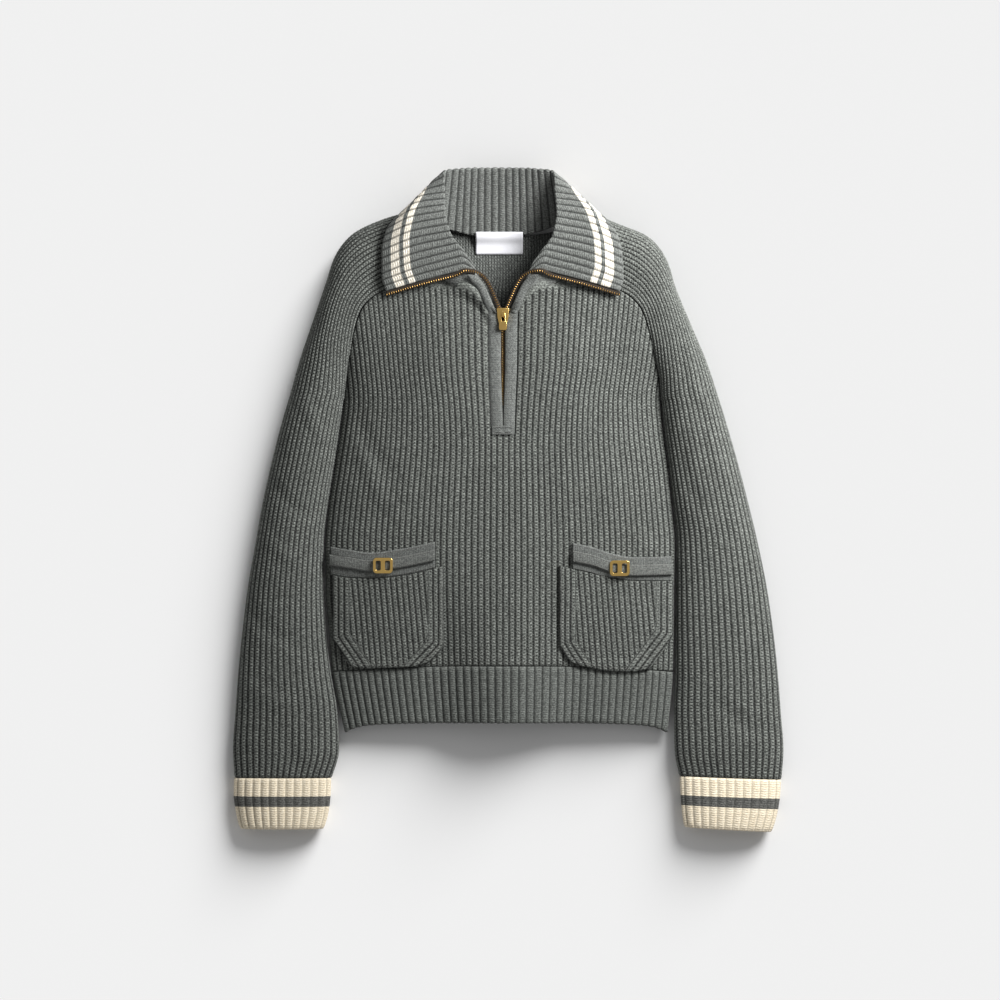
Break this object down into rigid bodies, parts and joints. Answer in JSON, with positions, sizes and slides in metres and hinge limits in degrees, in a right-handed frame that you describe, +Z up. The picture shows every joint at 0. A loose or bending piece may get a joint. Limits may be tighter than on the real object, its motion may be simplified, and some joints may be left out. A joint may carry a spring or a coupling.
{
  "type": "quarter-zip polo sweater",
  "caption": "Rib-knit pullover with a folded striped collar, a short front zip, raglan sleeves, striped cuffs and patch pockets, laid on its back and softly filled out.",
  "frame": {"origin": "centre of the bounding box, on the surface that the sweater lies on", "axes": "+Y towards the collar, +X towards the side of the wearer's left sleeve as seen from above, +Z up out of the front"},
  "size_m": [0.6148, 0.7414, 0.0555],
  "materials": {
    "grey_wool": "heathered grey half-cardigan rib wool",
    "grey_rib": "heathered grey one-by-one rib wool",
    "plain_knit": "heathered grey plain knit wool",
    "cream_rib": "cream one-by-one rib wool with a grey stripe",
    "brass": "bright polished brass",
    "zip_tape": "dark woven zip tape with brass teeth",
    "label_cloth": "white woven satin label, bare"
  },
  "bodies": {
    "garment": {"front_panel": "grey_wool", "back_panel": "grey_wool", "sleeve_left": "grey_wool", "sleeve_right": "grey_wool", "hem_front": "grey_rib", "hem_back": "grey_rib", "cuff_left": "cream_rib", "cuff_right": "cream_rib", "collar": "grey_rib", "placket_left": "plain_knit", "placket_right": "plain_knit", "placket_end": "plain_knit", "pocket_left": "grey_rib", "pocket_right": "grey_rib", "pocket_band_left": "plain_knit", "pocket_band_right": "plain_knit", "pocket_strap_left": "plain_knit", "pocket_strap_right": "plain_knit", "buckle_left": "brass", "buckle_right": "brass", "zip_tape_left": "zip_tape", "zip_tape_right": "zip_tape", "zip_tape_left_stand": "zip_tape", "zip_tape_right_stand": "zip_tape", "zip_chain": "zip_tape", "zip_slider": "brass", "neck_label": "label_cloth"},
    "pull": {"zip_pull": "brass"}
  },
  "joints": [
    {"name": "pull_swing", "type": "hinge", "parent": "garment", "child": "pull", "pos_m": [-0.0059, 0.206, 0.04587], "axis": [-1, 0, 0], "range_deg": [0, 150]}
  ]
}
